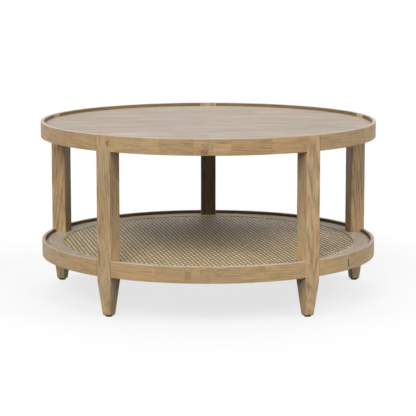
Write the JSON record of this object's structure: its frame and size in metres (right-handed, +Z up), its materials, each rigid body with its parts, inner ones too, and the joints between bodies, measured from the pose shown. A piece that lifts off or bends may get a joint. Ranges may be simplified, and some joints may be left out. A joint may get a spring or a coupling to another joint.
{
  "type": "coffee table",
  "caption": "Round wooden coffee table with a raised lip round its flat top, square legs tapered at the foot, and a lower shelf with a woven cane panel.",
  "frame": {"origin": "on the floor, under the middle of the table", "axes": "+Z up; +Y from the middle towards the leg named back; +X to the right seen from the front"},
  "size_m": [0.914, 0.914, 0.473],
  "materials": {
    "leg_wood": "satin oak, grain upright",
    "rim_wood": "satin oak, short glued blocks",
    "top_wood": "satin oak boards",
    "backing_board": "dark stained plywood",
    "cane": "woven natural cane, semi-matt",
    "glide_plastic": "black nylon",
    "screw_steel": "zinc plated"
  },
  "bodies": {
    "root": {"leg_right_rear": "leg_wood", "leg_back": "leg_wood", "leg_left_rear": "leg_wood", "leg_front_left": "leg_wood", "leg_front_right": "leg_wood", "upper_rim_back_right": "rim_wood", "lower_rim_back_right": "rim_wood", "shelf_frame_back_right": "rim_wood", "upper_rim_back_left": "rim_wood", "lower_rim_back_left": "rim_wood", "shelf_frame_back_left": "rim_wood", "upper_rim_left": "rim_wood", "lower_rim_left": "rim_wood", "shelf_frame_left": "rim_wood", "upper_rim_front": "rim_wood", "lower_rim_front": "rim_wood", "shelf_frame_front": "rim_wood", "upper_rim_right": "rim_wood", "lower_rim_right": "rim_wood", "shelf_frame_right": "rim_wood", "top_panel": "top_wood", "shelf_board": "backing_board", "cane_panel": "cane", "glide_right_rear": "glide_plastic", "glide_back": "glide_plastic", "glide_left_rear": "glide_plastic", "glide_front_left": "glide_plastic", "glide_front_right": "glide_plastic", "top_screw_back_right_1": "screw_steel", "shelf_screw_back_right_1": "screw_steel", "top_screw_back_right_2": "screw_steel", "shelf_screw_back_right_2": "screw_steel", "top_screw_back_left_1": "screw_steel", "shelf_screw_back_left_1": "screw_steel", "top_screw_back_left_2": "screw_steel", "shelf_screw_back_left_2": "screw_steel", "top_screw_left_1": "screw_steel", "shelf_screw_left_1": "screw_steel", "top_screw_left_2": "screw_steel", "shelf_screw_left_2": "screw_steel", "top_screw_front_1": "screw_steel", "shelf_screw_front_1": "screw_steel", "top_screw_front_2": "screw_steel", "shelf_screw_front_2": "screw_steel", "top_screw_right_1": "screw_steel", "shelf_screw_right_1": "screw_steel", "top_screw_right_2": "screw_steel", "shelf_screw_right_2": "screw_steel"}
  },
  "joints": []
}
